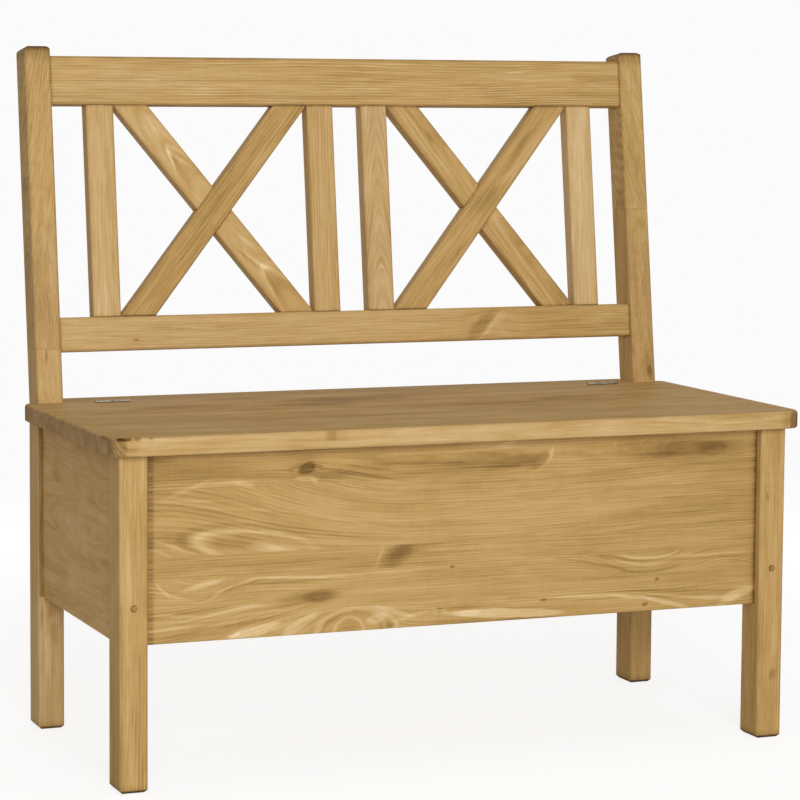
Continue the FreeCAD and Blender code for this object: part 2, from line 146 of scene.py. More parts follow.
def eased(value, low, high, amount_low, amount_high):
    """One amount below low, another above high, and eased between."""
    node = new_node(value.tree, "MapRange", {
        "Value": value, "From Min": low, "From Max": high, "To Min": amount_low, "To Max": amount_high},
        interpolation_type="SMOOTHSTEP")
    return Wire(node.outputs["Result"])


def smooth(value, low, high):
    """0 below low, 1 above high, eased between; it falls where high is the lower."""
    return eased(value, low, high, 0.0, 1.0) if low < high else eased(value, high, low, 1.0, 0.0)


def fade(value, low, high, amount):
    """An amount below low that eases to 0 at high."""
    return eased(value, low, high, amount, 0.0)


def nearness(value, reach):
    """1 where the value is 0, and less the further from it."""
    return (value.math("ABSOLUTE") / reach * -1).math("EXPONENT")


def vector(x, y, z):
    return Wire(new_node(x.tree, "CombineXYZ", {0: x, 1: y, 2: z}).outputs[0])


def noise(x, y, z, detail=2.0, roughness=0.5):
    """Soft noise about 0.5 on a point whose coordinates are already scaled."""
    node = new_node(x.tree, "TexNoise", {"Scale": 1.0, "Detail": detail, "Roughness": roughness})
    join(vector(x, y, z), node.inputs["Vector"])
    return Wire(node.outputs["Fac"])


def scatter(value, seed):
    """A steady random number for each whole number."""
    node = new_node(value.tree, "TexWhiteNoise", {}, noise_dimensions="2D")
    join(vector(value, seed, 0.0), node.inputs["Vector"])
    return Wire(node.outputs["Value"])


def hill(u, v, centre_u, centre_v, half_u, half_v):
    """A smooth hill, 1 at its centre."""
    du = (u - centre_u) / half_u
    dv = (v - centre_v) / half_v
    return (-(du * du + dv * dv)).math("EXPONENT")


def dot(source, direction, start=0.0):
    """How far along a direction a point lies, less a start."""
    node = new_node(source.id_data, "VectorMath", {0: source, 1: tuple(direction)}, operation="DOT_PRODUCT")
    along = Wire(node.outputs["Value"])
    return along - start if start else along


def ramp(value, stops):
    """Colours along a value; stops are (place, colour)."""
    node = new_node(value.tree, "ValToRGB", {"Fac": value})
    items = node.color_ramp.elements
    while len(items) < len(stops):
        items.new(0.5)
    for item, (where, colour) in zip(items, stops):
        item.position = where
        item.color = colour
    return Wire(node.outputs["Color"])


def blend_colour(factor, low, high):
    """One colour where the factor is 0, another where it is 1. A Mix node has its colours in slots 6 and 7."""
    node = new_node(factor.tree, "Mix", {0: factor, 6: low, 7: high}, data_type="RGBA")
    return Wire(node.outputs[2])


def empty_tree(owner):
    """The node tree of a material or a world, without nodes."""
    owner.use_nodes = True
    owner.node_tree.nodes.clear()
    return owner.node_tree


def new_material(name):
    material = bpy.data.materials.new(name)
    tree = empty_tree(material)
    shader = new_node(tree, "BsdfPrincipled", {})
    new_node(tree, "OutputMaterial", {"Surface": shader.outputs[0]})
    coords = new_node(tree, "TexCoord", {})
    return material, shader, coords


def add_bump(shader, height, depth_mm, strength):
    node = new_node(shader.id_data, "Bump", {"Strength": strength, "Distance": depth_mm / MM, "Height": height})
    join(node.outputs["Normal"], shader.inputs["Normal"])


# Wood colours, from the dark of a knot to bleached sapwood
HONEY = ((0.00, srgb(82, 56, 30)), (0.20, srgb(127, 97, 57)), (0.38, srgb(163, 130, 78)),
         (0.55, srgb(190, 154, 97)), (0.70, srgb(203, 171, 120)), (0.86, srgb(218, 190, 143)),
         (1.00, srgb(233, 212, 172)))
RAW = ((0.00, srgb(110, 76, 42)), (0.22, srgb(160, 122, 78)), (0.40, srgb(190, 156, 108)),
       (0.55, srgb(208, 177, 130)), (0.72, srgb(219, 191, 146)), (0.88, srgb(228, 204, 163)),
       (1.00, srgb(236, 216, 180)))


def tinted(red, green, blue):
    """The honey colours with more or less of each light."""
    return tuple((where, (c[0] * red, c[1] * green, c[2] * blue, 1.0)) for where, c in HONEY)


WARMER = tinted(1.03, 0.965, 0.90)
DUSTY = tinted(1.0, 1.07, 1.60)
GREYER = tinted(0.97, 0.985, 1.22)

# Wax, relief and figure of the wood. Lengths are in millimetres.
GLOSS = 0.06
BUMP_DEPTH = 0.22
BUMP_STRENGTH = 0.36
ARRIS_REACH = 1.3
GLUE_REACH = 0.7
WARP = (7.0, 3.0, 0.0)
SEED_SHIFT = 7.3
STAVE_SHIFT = 11.0
STAVE_SHIFT_PER_MM = 0.37
MARKS_IN_A_ROW = 3
TINY = 0.000001

# What each part of the figure adds to the tone at its full strength
LATE_WOOD = -0.105
EARLY_WOOD = 0.095
FIBRE = 0.26
THREAD = 0.26
PALE_STREAK = 0.10
BROAD_PATCH = 0.28
SMALL_PATCH = 0.18
CROSS_RIPPLE = 0.05
GLUE_LINE = -0.05
PORES = 0.35


class Board:
    """The wood of one piece: its grain runs along one axis, and its growth rings lie round a pith line.

    From its origin u counts along the grain, v across its face and w through it, in millimetres. Staves are
    the boards it is glued from: (start on v, shift of the pith on v, on w, tone)."""

    def __init__(self, name, origin, along, across, seed, pith=(90.0, 60.0), spacing=3.6, taper=0.0,
                 wander=4.0, staves=()):
        self.material, self.shader, self.coords = new_material(name)
        self.tree = self.material.node_tree
        self.along = along
        self.depth = along.cross(across)
        self.u, self.v, self.w = (self.distance(axis, origin) for axis in (along, across, self.depth))
        self.seed = seed
        self.spacing = spacing
        self.tone = 0.0
        self.gain = 1.0
        self.glue = None
        self.shift = seed * SEED_SHIFT
        shift_v = 0.0
        shift_w = 0.0
        for start, more_v, more_w, more_tone in staves:
            step = self.v.math("GREATER_THAN", start)
            shift_v = step * more_v + shift_v
            shift_w = step * more_w + shift_w
            self.tone = step * more_tone + self.tone
            self.shift = step * (more_v * STAVE_SHIFT_PER_MM + STAVE_SHIFT) + self.shift
            line = nearness(self.v - start, GLUE_REACH)
            self.glue = line if self.glue is None else self.glue + line
        bend_v = noise(self.u / 260 + self.shift, self.v / 90, self.w / 90, detail=1.5) - 0.5
        bend_w = noise(self.u / 330, self.v / 120 + self.shift, self.w / 120 + 5.0, detail=1.0) - 0.5
        far_v = self.v - pith[0] + shift_v + bend_v * (wander * 2)
        far_w = self.w - pith[1] + shift_w + bend_w * (wander * 2)
        self.ring = (far_v * far_v + far_w * far_w).math("SQRT") + self.u * taper

    def distance(self, axis, origin):
        """How far along an axis from an origin, in millimetres."""
        return dot(self.coords.outputs["Object"], axis * MM, origin.dot(axis) * MM)

    def facing(self, direction):
        """How squarely a face looks in a direction: 1 straight, -1 the opposite way."""
        return dot(self.coords.outputs["Normal"], direction)

    def lift(self, amount):
        """Push the growth rings outwards, which bends the lines."""
        self.ring = self.ring + amount

    def shade(self, amount):
        """Add to the tone: below zero is darker."""
        self.tone = self.tone + amount

    def stronger(self, amount):
        """Make the growth lines stand out more where the amount is above zero."""
        self.gain = self.gain + amount

    def face(self, bow=0.0, middle=0.0):
        """Places on the face of the board, a little warped so that no mark has a ruled edge.

        With a bow the marks on it curve upwards to both sides of the middle."""
        level = self.v - (self.u - middle) * (self.u - middle) * bow if bow else self.v
        warp = new_node(self.tree, "TexNoise", {"Scale": 1.0, "Detail": 2.0})
        join(vector(self.u / 20 + self.seed, self.v / 8, 3.0), warp.inputs["Vector"])
        node = new_node(self.tree, "VectorMath", {0: warp.outputs["Color"], 1: WARP}, operation="MULTIPLY_ADD")
        join(vector(self.u - WARP[0] / 2, level - WARP[1] / 2, 0.0), node.inputs[2])
        return node.outputs["Vector"]

    def reach(self, face, u, v, half_u, half_v, turn):
        """How far from the middle of a turned ellipse a point lies: 1 on its outline."""
        node = new_node(self.tree, "Mapping", {
            "Vector": face, "Location": (u, v, 0.0), "Rotation": (0.0, 0.0, math.radians(turn)),
            "Scale": (half_u, half_v, 1.0)}, vector_type="TEXTURE")
        length = new_node(self.tree, "VectorMath", {0: node.outputs["Vector"]}, operation="LENGTH")
        return Wire(length.outputs["Value"])

    def after(self, face, earlier):
        """The same places, worked out after an earlier value, so that few values are held at a time."""
        if not isinstance(earlier, Wire):
            return face
        node = new_node(self.tree, "VectorMath", {0: earlier, 1: (TINY, TINY, TINY), 2: face},
                        operation="MULTIPLY_ADD")
        return node.outputs["Vector"]

    def marks(self, face, items):
        """Soft-edged ellipses, lighter or darker by an amount: (u, v, half_u, half_v, turn, edge, amount)."""
        total = 0.0
        face = self.after(face, self.tone)
        for index, (u, v, half_u, half_v, turn, edge, amount) in enumerate(items):
            if index % MARKS_IN_A_ROW == MARKS_IN_A_ROW - 1:
                face = self.after(face, total)
            reach = self.reach(face, u, v, half_u, half_v, turn)
            total = fade(reach, 1 - edge, 1 + edge, amount) + total
        return total

    def loops(self, face, items):
        """Outlines of ellipses, lighter or darker: (u, v, half_u, half_v, turn, width, amount)."""
        total = 0.0
        face = self.after(face, self.tone)
        for u, v, half_u, half_v, turn, width, amount in items:
            away = (self.reach(face, u, v, half_u, half_v, turn) - 1).math("ABSOLUTE")
            total = fade(away, 0.0, width / half_v, amount) + total
        return total

    def arris(self, half, amount):
        """Darker edges along the flat faces, as stain gathers there."""
        flat = smooth(self.facing(self.depth).math("ABSOLUTE"), 0.6, 0.95)
        near = ((self.v.math("ABSOLUTE") - half) / ARRIS_REACH).math("EXPONENT")
        self.shade(near * flat * -amount)

    def foot(self, height):
        """A darker foot, where the origin lies this high above the floor."""
        self.shade(smooth(self.u, 14 - height, 0.5 - height) * -0.18
                   + smooth(self.u, 4.5 - height, 1.5 - height) * -0.24)

    def knot(self, u, v, half_u, half_v, depth=1.0, pull=1.0, halo=2.4, turn=0.0):
        """A knot with a darker rim, a ringed core, and grain that parts round it."""
        cosine, sine = math.cos(math.radians(turn)), math.sin(math.radians(turn))
        rough = noise(self.u / (half_u * 0.8) + u, self.v / (half_v * 0.8), self.w / 9) - 0.5
        away_u, away_v = self.u - u, self.v - v
        du = (away_u * cosine + away_v * sine) / half_u
        dv = (away_v * cosine - away_u * sine) / half_v
        reach = (du * du + dv * dv).math("SQRT") + rough * 0.5
        core = smooth(reach, 1.15, 0.70)
        rim = smooth(reach, 0.55, 0.98) * smooth(reach, 1.45, 1.0)
        around = (-(reach * reach) / (halo * halo)).math("EXPONENT")
        rings = (reach * 11).math("SINE") * core
        self.shade(core * (-0.21 * depth) + rim * (-0.11 * depth) + around * (-0.11 * depth)
                   + rings * (0.03 * depth))
        side = smooth(self.v, v - half_v * 0.6, v + half_v * 0.6) * 2 - 1
        self.lift((-(reach * reach) / 7.0).math("EXPONENT") * side * (-half_v * 0.9 * pull))

    def growth_lines(self):
        """The dark late wood and the pale early wood of each year, some years fainter than others."""
        u, w, shift, ring = self.u, self.w, self.shift, self.ring
        turn = noise(u / 210 + shift, ring / 16, w / 60, detail=1.0) - 0.5
        count = ring / self.spacing + turn * 0.9
        year = count.math("FLOOR")
        part = count - year
        late = smooth(part, 0.30, 0.84) * smooth(part, 1.0, 0.90)
        late = late * (scatter(year, self.seed) * 0.75 + 0.25)
        clear = noise(u / 150 + 3.0, ring / 22 + shift, w / 50)
        late = late * smooth(clear, 0.18, 0.62)
        early = smooth(part, 0.0, 0.05) * smooth(part, 0.34, 0.06)
        early = early * smooth(scatter(year, self.seed + 5.0), 0.35, 0.95) * smooth(clear, 0.25, 0.7)
        return late, early

    def finish(self, contrast=1.0, tone=0.56, lines=1.0, streaks=1.0, light_lines=1.0, mottle=1.0, seams=(),
               ends=0.16, palette=HONEY, raw_side=None, roughness=0.55, cool=0.0, dust=0.8, gloss=GLOSS):
        """Join figure, tone and colours into the material.

        The wood darkens towards other pieces at its seams, (point, normal, reach, strength): dirt in some
        joints, painted shade in others. It has no wax on its raw side. Cool greys it in patches, and dust its
        end grain."""
        u, v, w, shift, ring = self.u, self.v, self.w, self.shift, self.ring

        # Every noise has its length along the grain, across the rings or the face, and through the board
        late, early = self.growth_lines()
        fibre = noise(u / 34 + shift, ring / 0.75, w / 0.9, detail=3.0, roughness=0.62) - 0.5
        pale = smooth(noise(u / 95 + 9.0, ring / 1.35 + shift, w / 2.0), 0.585, 0.74)
        thread = noise(u / 62 + shift, ring / 2.1, w / 2.4 + 3.0, roughness=0.6) - 0.5
        broad = noise(u / 190 + shift, ring / 9, w / 26) - 0.5
        patchy = noise(u / 75, v / 26 + shift, w / 26, detail=3.0, roughness=0.55) - 0.5
        ripple = noise(u / 5.5 + shift, v / 40, w / 40) - 0.5
        drawn = (late * LATE_WOOD + early * EARLY_WOOD) * (lines * contrast) * self.gain
        tone = (self.tone + tone + drawn + fibre * (FIBRE * streaks * contrast)
                + thread * (THREAD * streaks * contrast)
                + pale * (PALE_STREAK * light_lines * contrast) + broad * (BROAD_PATCH * contrast)
                + patchy * (SMALL_PATCH * mottle * contrast) + ripple * (CROSS_RIPPLE * contrast))
        if self.glue is not None:
            tone = tone + self.glue * GLUE_LINE
        # Seams: dirt in some joints, painted shade where one part shades another
        for point, normal, reach, strength in seams:
            near = nearness(self.distance(normal, point), reach)
            ragged = noise(u / 6 + 2.0, v / 6, w / 6) * 0.9 + 0.55
            tone = tone + near * ragged * -strength
        end_grain = smooth(self.facing(self.along).math("ABSOLUTE"), 0.55, 0.9)
        pores = noise(u / 2.0, v / 1.1, w / 1.1) - 0.5
        tone = tone + end_grain * (pores * PORES - ends)

        # The colours
        colour = ramp(tone, palette)
        warm = noise(u / 240 + 7.0, v / 70 + shift, w / 70, detail=1.0)
        colour = blend_colour(smooth(warm, 0.35, 0.75) * 0.25, colour, ramp(tone, WARMER))
        if cool:
            haze = noise(u / 120 + 4.0, v / 60, w / 60)
            colour = blend_colour(smooth(haze, 0.2, 0.8) * cool, colour, ramp(tone, GREYER))
        colour = blend_colour(end_grain * dust, colour, ramp(tone, DUSTY))
        if raw_side is not None:
            inner = smooth(self.facing(raw_side), 0.5, 0.8)
            colour = blend_colour(inner * 0.85, colour, ramp(tone, RAW))
        join(colour, self.shader.inputs["Base Color"])

        # The wax and the relief
        rough = fibre * -0.16 + late * -0.05 + patchy * 0.14 + (roughness + end_grain * 0.2)
        join(rough, self.shader.inputs["Roughness"])
        self.shader.inputs["Specular IOR Level"].default_value = gloss
        height = late * -0.5 + fibre * 0.8 + pale * 0.25 + ripple * 0.12
        add_bump(self.shader, height, BUMP_DEPTH, BUMP_STRENGTH)
        return self.material


def add_object(name, data):
    thing = bpy.data.objects.new(name, data)
    bpy.context.scene.collection.objects.link(thing)
    return thing


def put_on(node, material):
    """Give a CAD node its material."""
    thing = NODES[node]
    if not thing.material_slots:
        thing.data.materials.append(material)
    for slot in thing.material_slots:
        slot.material = material


# The back: rails, slats and diagonals, all cut from streaky wood
BACK_FIGURE = {"streaks": 1.3, "light_lines": 1.8}
RAIL_KNOT_MARKS = (
    (198, -3, 24, 10, 40, 0.6, -0.20), (216, -1, 24, 3.4, 47, 0.6, 0.17), (231, 5, 14, 3.0, 50, 0.6, 0.08))
CROSS_MARKS = {
    "cross_left_rear": (
        (96, -3, 20, 2.6, 20, 0.5, 0.16), (92, 5, 18, 2.2, -18, 0.5, 0.15), (84, 0, 16, 2.6, 6, 0.6, -0.10),
        (-62, 6, 26, 2.2, -9, 0.6, 0.12), (-96, -1, 24, 2.4, -13, 0.5, 0.15),
        (-84, -8, 26, 2.2, -10, 0.6, -0.11), (-118, 7, 20, 2.0, -16, 0.6, 0.13),
        (-140, -4, 18, 3.0, 10, 0.5, -0.10), (150, 6, 18, 2.0, 10, 0.6, 0.10)),
    "cross_right_front": (
        (14, 0, 30, 14, 10, 0.7, -0.11), (62, 6, 24, 5, 14, 0.6, 0.08), (-70, -5, 40, 4, 8, 0.7, 0.07),
        (110, -4, 30, 6, -8, 0.7, -0.07)),
    "cross_right_rear": (
        (128, 4, 9, 3, 12, 0.6, -0.12), (60, -6, 40, 2, 2, 0.6, 0.06))}


def rail_wood():
    for node, middle, half_high, seed, tone, lines in (
            ("top_rail", TOP_RAIL_MID, 34.25, 3, 0.585, 1.3),
            ("lower_back_rail", LOWER_RAIL_MID, 24.1, 8, 0.65, 0.9)):
        wood = Board(node, on_back(0, middle, 20), X_AXIS, UP_BACK, seed, pith=(120.0, 45.0), spacing=3.9,
                     taper=0.004, wander=4.5)
        ends = [(on_back(side * POST_INNER_X, middle, 0), X_AXIS, 1.1, 0.45) for side in (-1, 1)]
        wood.arris(half_high, 0.30)
        if node == "lower_back_rail":
            wood.lift(hill(wood.u, wood.v, 215, 6, 34, 30) * 8)
            wood.shade(wood.marks(wood.face(), RAIL_KNOT_MARKS))
            wood.shade(smooth(wood.u, 60, 330) * -0.10)
            wood.knot(-333, -10, 2.8, 1.8, depth=0.7)
        else:
            wood.shade(hill(wood.u, wood.v, 390, -4, 70, 22) * -0.05)
            # Painted shade on the rounded top edge, where it turns away from the light
            wood.shade(smooth(wood.v, 28.0, 33.5) * -0.12)
            wood.stronger(smooth(wood.v, 6, -10) * 0.5)
        put_on(node, wood.finish(tone=tone, lines=lines, seams=ends, cool=0.25, **BACK_FIGURE))


def rail_seams(x, reach, strength_low, strength_high):
    """The dark lines where a slat or a diagonal enters the two rails: partly dirt in the joint, partly painted
    shade, most of all under the top rail.
    """
    return [(on_back(x, LOWER_RAIL_TOP, 0), UP_BACK, reach, strength_low),
            (on_back(x, TOP_RAIL_BOTTOM, 0), UP_BACK, 1.3, strength_high)]


def slat_wood():
    for x, (node, seed, tone, lines, pith, taper, cool) in zip(SLAT_CENTRES, (
            ("back_slat_1", 21, 0.655, 0.55, (70.0, 110.0), 0.006, 0.35),
            ("back_slat_2", 22, 0.60, 1.1, (60.0, 40.0), 0.006, 0.35),
            ("back_slat_3", 23, 0.66, 0.9, (1.5, 4.0), 0.085, 0.7),
            ("back_slat_4", 24, 0.70, 0.45, (80.0, 120.0), 0.006, 0.35))):
        wood = Board(node, on_back(x, 268.5, 18.5), UP_BACK, X_AXIS, seed, pith=pith, spacing=3.4,
                     taper=taper, wander=2.5)
        wood.arris(SLAT_WIDTH / 2, 0.32)
        seams = rail_seams(x, 1.0, 0.46, 0.44)
        put_on(node, wood.finish(tone=tone, lines=lines, seams=seams, cool=cool, **BACK_FIGURE))


def cross_direction(rising):
    """Along a diagonal of the back, and across it."""
    wide = SLAT_CENTRES[3] - SLAT_CENTRES[2] - SLAT_WIDTH
    high = TOP_RAIL_BOTTOM - LOWER_RAIL_TOP
    lean = math.acos(CROSS_WIDTH / math.hypot(wide, high)) - math.atan2(high, wide)
    side = 1 if rising else -1
    along = X_AXIS * (side * math.sin(lean)) + UP_BACK * math.cos(lean)
    across = X_AXIS * math.cos(lean) - UP_BACK * (side * math.sin(lean))
    return along, across


def cross_wood():
    """The diagonals. A rear one also has painted shade towards the front one that crosses over it."""
    middle_up = (TOP_RAIL_BOTTOM + LOWER_RAIL_TOP) / 2
    centre = (SLAT_CENTRES[2] + SLAT_CENTRES[3]) / 2
    front_across = cross_direction(True)[1]
    for node, x, seed, tone, lines, pith, taper in (
            ("cross_left_front", -centre, 36, 0.525, 1.0, (70.0, 70.0), 0.004),
            ("cross_left_rear", -centre, 35, 0.635, 0.7, (4.0, 60.0), 0.03),
            ("cross_right_front", centre, 46, 0.545, 0.6, (90.0, 110.0), 0.004),
            ("cross_right_rear", centre, 45, 0.585, 1.3, (14.0, 28.0), 0.02)):
        rising = node.endswith("front")
        along, across = cross_direction(rising)
        wood = Board(node, on_back(x, middle_up, 18), along, across, seed, pith=pith, taper=taper,
                     wander=3.0)
        wood.arris(CROSS_WIDTH / 2, 0.32)
        seams = rail_seams(x, 1.1, 0.46, 0.46)
        # Painted shade on a rear diagonal beside the front one that lies over it
        if not rising:
            for side in (-1, 1):
                edge = on_back(x, middle_up, 0) + front_across * (side * CROSS_WIDTH / 2 / MM)
                seams.append((edge, front_across, 1.1, 0.40))
        if node in CROSS_MARKS:
            wood.shade(wood.marks(wood.face(), CROSS_MARKS[node]))
        put_on(node, wood.finish(tone=tone, lines=lines, seams=seams, **BACK_FIGURE))


# Posts and legs
LEG_MARKS = {
    "rear_post_left": (
        (64, -4, 11, 1.8, 0, 0.5, -0.24), (-288, 4, 14, 8, 20, 0.5, -0.16), (-299, 4, 10, 5, 10, 0.5, 0.10),
        (-318, 1, 22, 6, -8, 0.6, -0.10), (-345, -4, 30, 5, 4, 0.6, 0.08),
        (-300, -14, 18, 2.2, 0, 0.6, -0.20), (-360, -12, 30, 2.0, 0, 0.6, -0.14),
        (30, 12, 26, 3, 0, 0.6, 0.07)),
    "rear_post_right": (
        (16, 9, 9, 4, 0, 0.6, -0.22), (28, 4, 22, 5, 0, 0.7, -0.10), (238, 4, 7, 8, 0, 0.6, -0.08),
        (100, -6, 70, 3, 2, 0.6, 0.05)),
    "front_leg_left": (
        (110, 2, 26, 2.0, 3, 0.6, -0.08), (60, -6, 40, 2.2, -2, 0.6, 0.08)),
    "front_leg_right": (
        (190, 2, 30, 10, 0, 0.7, -0.08), (120, -8, 5, 1.6, 0, 0.5, -0.20), (-130, 4, 8, 5, 10, 0.5, -0.16),
        (-40, 6, 60, 3, 1, 0.6, 0.06))}


def rear_post(node, side, seed, joint, rings, slope, slope_start, upper_tone, tone, foot_tone, cool):
    """A rear post, glued end to end from two lengths. The rings, their slope and the tone change above it."""
    wood = Board(node, place(side * POST_X, POST_Y, SEAT_HEIGHT), Z_AXIS, X_AXIS, seed, pith=(95.0, 20.0),
                 spacing=3.3, wander=3.5)
    u, v = wood.u, wood.v
    joint = joint - SEAT_HEIGHT
    above = smooth(u, joint - 0.4, joint + 0.4)
    climb = (u - slope_start).math("MAXIMUM", 0.0)
    wood.lift(above * rings + above * climb * slope)
    wood.shade(above * upper_tone + tone)
    wood.shade(smooth(u, -270, -290) * foot_tone)
    curl = noise((u + v * slope) / 26, (v - u * slope) / 2.4, 4.0)
    wood.shade(above * smooth(u, 150, 230) * (curl - 0.5) * 0.34)
    flat = wood.face()
    forward = smooth(wood.facing(-Y_AXIS), 0.5, 0.9)
    wood.shade(forward * wood.marks(flat, LEG_MARKS[node]))

    # The top, with painted shade where its rounding turns from the light; the foot; the joint; and the strip
    # beside the side panel, which lies in its shade
    wood.shade(smooth(u, 468, 488) * -0.16 + smooth(u, 486, 492.5) * -0.20)
    wood.foot(SEAT_HEIGHT)
    wood.shade(nearness(u - joint, 0.5) * -0.12)
    panel_bottom = PANEL_BOTTOM - SEAT_HEIGHT
    beside = smooth(u, panel_bottom - 1, panel_bottom + 1) * smooth(u, -20, -26)
    wood.shade(beside * forward * -0.30)
    wood.arris(POST_HALF_WIDTH, 0.26)
    put_on(node, wood.finish(tone=0.56, contrast=1.1, cool=cool))


def front_leg(node, side, seed):
    """A front leg. Its top face, which the seam under the seat would darken, is lightened again."""
    wood = Board(node, place(side * LEG_X, LEG_Y, LEG_MID_Z), Z_AXIS, X_AXIS, seed, pith=(80.0, 60.0),
                 spacing=3.2, taper=0.003, wander=3.0)
    edges = [(place(0, 0, SEAT_UNDERSIDE), Z_AXIS, 1.8, 0.30)]
    wood.shade(smooth(wood.facing(Z_AXIS), 0.6, 0.9) * 0.26)
    wood.arris(LEG_HALF_WIDTH, 0.22)
    wood.foot(LEG_MID_Z)
    wood.shade(smooth(wood.u, 60, -120) * -0.035)
    wood.shade(wood.marks(wood.face(), LEG_MARKS[node]))
    put_on(node, wood.finish(tone=0.575, lines=0.9, seams=edges, contrast=1.1))


def post_wood():
    rear_post("rear_post_left", -1, 51, joint=533.7, rings=37.0, slope=0.16, slope_start=180,
              upper_tone=-0.055, tone=0.045, foot_tone=0.06, cool=0.50)
    rear_post("rear_post_right", 1, 57, joint=719.6, rings=23.5, slope=-0.20, slope_start=270,
              upper_tone=0.035, tone=-0.03, foot_tone=0.0, cool=0.35)
    front_leg("front_leg_left", -1, 61)
    front_leg("front_leg_right", 1, 67)


# The front panel: four glued boards whose figure follows the photograph. Marks and loops count u from its
# middle and v from PANEL_MID_Z.
GLUE_LINES = (-42.0, -12.0, 75.0)
WIDE_LOOPS = (
    (-290, -3, 87, 18, -7, 4.2, 0.20), (-294, -2, 98, 26, -7, 5.0, -0.10))
WIDE_MARKS = (
    (-322, 2, 34, 8, -7, 0.5, -0.13), (-362, 4, 14, 9, -30, 0.6, 0.08), (-280, -6, 27, 5.0, -6, 0.25, 0.11),
    (-256, -8.5, 22, 3.0, -7, 0.5, 0.12), (-401, 15, 30, 8, -12, 0.6, -0.10),
    (-400, 0, 29, 2.3, -20, 0.6, 0.16), (-416, -7, 11, 2.2, -20, 0.6, 0.14),
    (-150, 20, 60, 1.3, -13, 0.6, 0.07), (-390, 60, 60, 1.6, -2, 0.6, 0.10),
    (-330, 47, 90, 1.6, -5, 0.6, 0.09))
NARROW_MARKS = (
    (-95, -26, 26, 12, 42, 0.7, -0.20), (-72, -16, 38, 6, 6, 0.7, -0.17), (-119, -26, 19, 2, 68, 0.7, 0.10),
    (-230, -28, 190, 8, 0, 0.8, -0.04), (250, -20, 120, 6, 0, 0.8, -0.04))
BOWED_MARKS = (
    (281, -50.5, 46, 1.9, 0, 0.6, 0.26), (268, -54.5, 44, 1.6, 0, 0.6, -0.12),
    (266, -59, 40, 1.7, 0, 0.6, 0.18), (262, -70, 60, 1.9, 0, 0.6, -0.13))
WAVES = (
    (-363, -50, 26, 3.8, 13, 0.4, 0.21), (-419, -54, 12, 1.7, -44, 0.6, 0.18),
    (-409, -61.5, 19, 1.9, -13, 0.6, 0.17), (-343, -62, 18, 1.9, 26, 0.6, 0.16),
    (-308, -50, 19, 1.9, 14, 0.6, 0.17), (-240, -47, 52, 1.9, -2, 0.6, 0.17),
    (-130, -47.5, 90, 1.9, 1, 0.6, 0.13), (-330, -59, 44, 1.7, 16, 0.6, -0.10),
    (-250, -52.5, 64, 1.7, 0, 0.6, -0.12), (-398, -89, 34, 2.3, -4, 0.6, 0.17),
    (-334, -87, 38, 2.5, 8, 0.6, 0.18), (-262, -81, 44, 2.3, 3, 0.6, 0.14),
    (-360, -96, 70, 2.2, 3, 0.6, -0.09), (-222, -76, 48, 9, 6, 0.6, -0.17),
    (-203, -74, 24, 7, 4, 0.4, -0.16), (168, -48, 50, 1.7, -11, 0.6, -0.10),
    (370, -50, 58, 2.0, 0, 0.6, 0.15), (366, -54.5, 60, 1.8, 0, 0.6, -0.10),
    (181, -97.5, 60, 2.2, -2, 0.5, 0.20), (250, -102.5, 30, 2.6, -7, 0.5, 0.21),
    (303, -113, 36, 3.2, -15, 0.4, 0.23), (315, -104.5, 50, 2.0, -7, 0.5, 0.17),
    (372, -110.5, 26, 2.8, -2, 0.4, 0.17), (415, -108, 26, 6.5, 14, 0.3, 0.24),
    (400, -117, 20, 4, 20, 0.5, 0.12), (290, -96.5, 120, 2, -3, 0.6, -0.10),
    (275, -74, 110, 1.8, 0, 0.6, -0.07))
FLAMES = (
    (-290, -114, 38, 6.5, 10, 0.2, 0.22), (-322, -118.5, 10, 3.5, 20, 0.3, 0.16),
    (-300, -102, 50, 3, 8, 0.5, -0.10), (-232, -110, 28, 6.5, 28, 0.25, 0.20),
    (-222, -110, 16, 5, 25, 0.5, -0.06), (-262, -110, 14, 4, 30, 0.5, -0.11),
    (-97, -101.5, 30, 3.4, -17, 0.4, 0.19), (-162, -116, 13, 8, 0, 0.5, -0.08),
    (-124, -109, 15, 6.5, 15, 0.3, 0.20), (-392, -96, 46, 2.1, 0, 0.6, 0.15),
    (-300, -92.5, 50, 2.1, 4, 0.6, 0.17), (-240, -86.5, 30, 2.0, 8, 0.6, 0.15),
    (-400, -104.5, 40, 2.2, 3, 0.6, 0.15), (-300, -98, 50, 2.0, 6, 0.6, 0.14),
    (-390, -115, 60, 4, 0, 0.6, -0.06), (62, -113, 86, 6.2, -3, 0.14, 0.27),
    (8, -109.5, 17, 4.6, 0, 0.3, 0.12), (50, -121.5, 90, 2, -1.5, 0.4, -0.12),
    (50, -104, 90, 2.4, -3, 0.6, -0.09), (-78, -97, 50, 2.6, -4, 0.6, 0.10),
    (-76, -109, 34, 3.2, 12, 0.5, 0.13), (-33, -105, 11, 4, 0, 0.35, 0.15),
    (-33, -106, 5, 2, 0, 0.5, -0.14))
DOTS = (
    (-15, -46, 3.2, 2, 0, 0.5, -0.28), (119, -99, 4.5, 2.2, 8, 0.5, -0.28),
    (272, -114.5, 4.4, 2.6, 20, 0.5, -0.28), (290.5, -80.5, 3.4, 2.2, 0, 0.5, -0.28),
    (-34, -101, 5, 1.6, 0, 0.5, -0.20))
ARCHES = (
    (-152, -124, 56, 30.5, 0, 4.5, 0.17), (-158, -124, 42, 25, 0, 4.0, -0.11),
    (-162, -124, 21, 19, 0, 3.4, 0.17))
GLUE_LINE_MARKS = (
    (-384, 75, 30, 3.0, 20, 0.7, 0.12), (-334, 81, 36, 2.8, 2, 0.5, 0.13),
    (-308, 77.5, 14, 3.6, -10, 0.4, 0.13), (-222, 81.5, 17, 3.2, -2, 0.3, 0.18),
    (-212, 79, 7, 3, -40, 0.4, 0.12))
